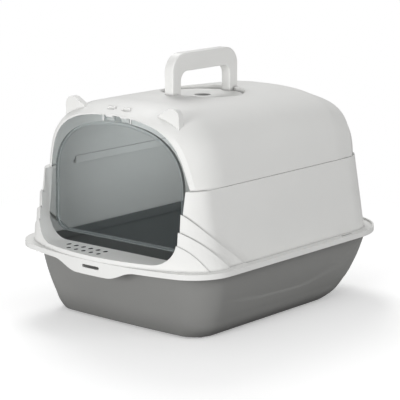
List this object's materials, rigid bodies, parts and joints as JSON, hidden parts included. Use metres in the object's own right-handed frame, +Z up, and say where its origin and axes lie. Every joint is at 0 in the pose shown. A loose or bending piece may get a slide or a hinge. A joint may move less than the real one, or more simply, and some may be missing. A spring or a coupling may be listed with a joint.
{
  "type": "covered litter box",
  "caption": "Covered litter box with a tapered tray, a two-part domed hood, a hanging swing door, a carry handle and a round roof filter.",
  "frame": {"origin": "on the floor under the centre of the outline", "axes": "-Y to the front with the entrance, +X to the right of someone who faces the entrance, +Z up"},
  "size_m": [0.394, 0.512, 0.402],
  "materials": {
    "tray": "fine satin moulded plastic, warm grey",
    "foot": "matt soft pads",
    "hood": "satin moulded plastic, pale grey white",
    "handle": "satin moulded plastic, pale grey white",
    "filter": "matt black carbon fleece",
    "door": "smoke-tinted clear plastic with a thick rim"
  },
  "bodies": {
    "base": {"litter_tray": "tray", "foot_front_left": "foot", "foot_front_right": "foot", "foot_rear_left": "foot", "foot_rear_right": "foot"},
    "hood": {"hood_lower": "hood"},
    "roof": {"hood_upper": "hood", "carry_handle": "handle", "filter_grille": "hood"},
    "filter": {"filter_cover": "handle", "carbon_filter": "filter"},
    "door": {"swing_door": "door"}
  },
  "joints": [
    {"name": "hood_lift", "type": "slide", "parent": "base", "child": "hood", "axis": [0, 0, 1], "range_m": [0, 0.12]},
    {"name": "roof_hinge", "type": "hinge", "parent": "hood", "child": "roof", "pos_m": [0, 0.238, 0.227], "axis": [-1, 0, 0], "range_deg": [0, 75]},
    {"name": "door_hinge", "type": "hinge", "parent": "roof", "child": "door", "pos_m": [0, -0.193, 0.3223], "axis": [1, 0, 0], "range_deg": [-65, 65]},
    {"name": "filter_cover_lift", "type": "slide", "parent": "roof", "child": "filter", "axis": [0, 0, 1], "range_m": [0, 0.026]}
  ]
}
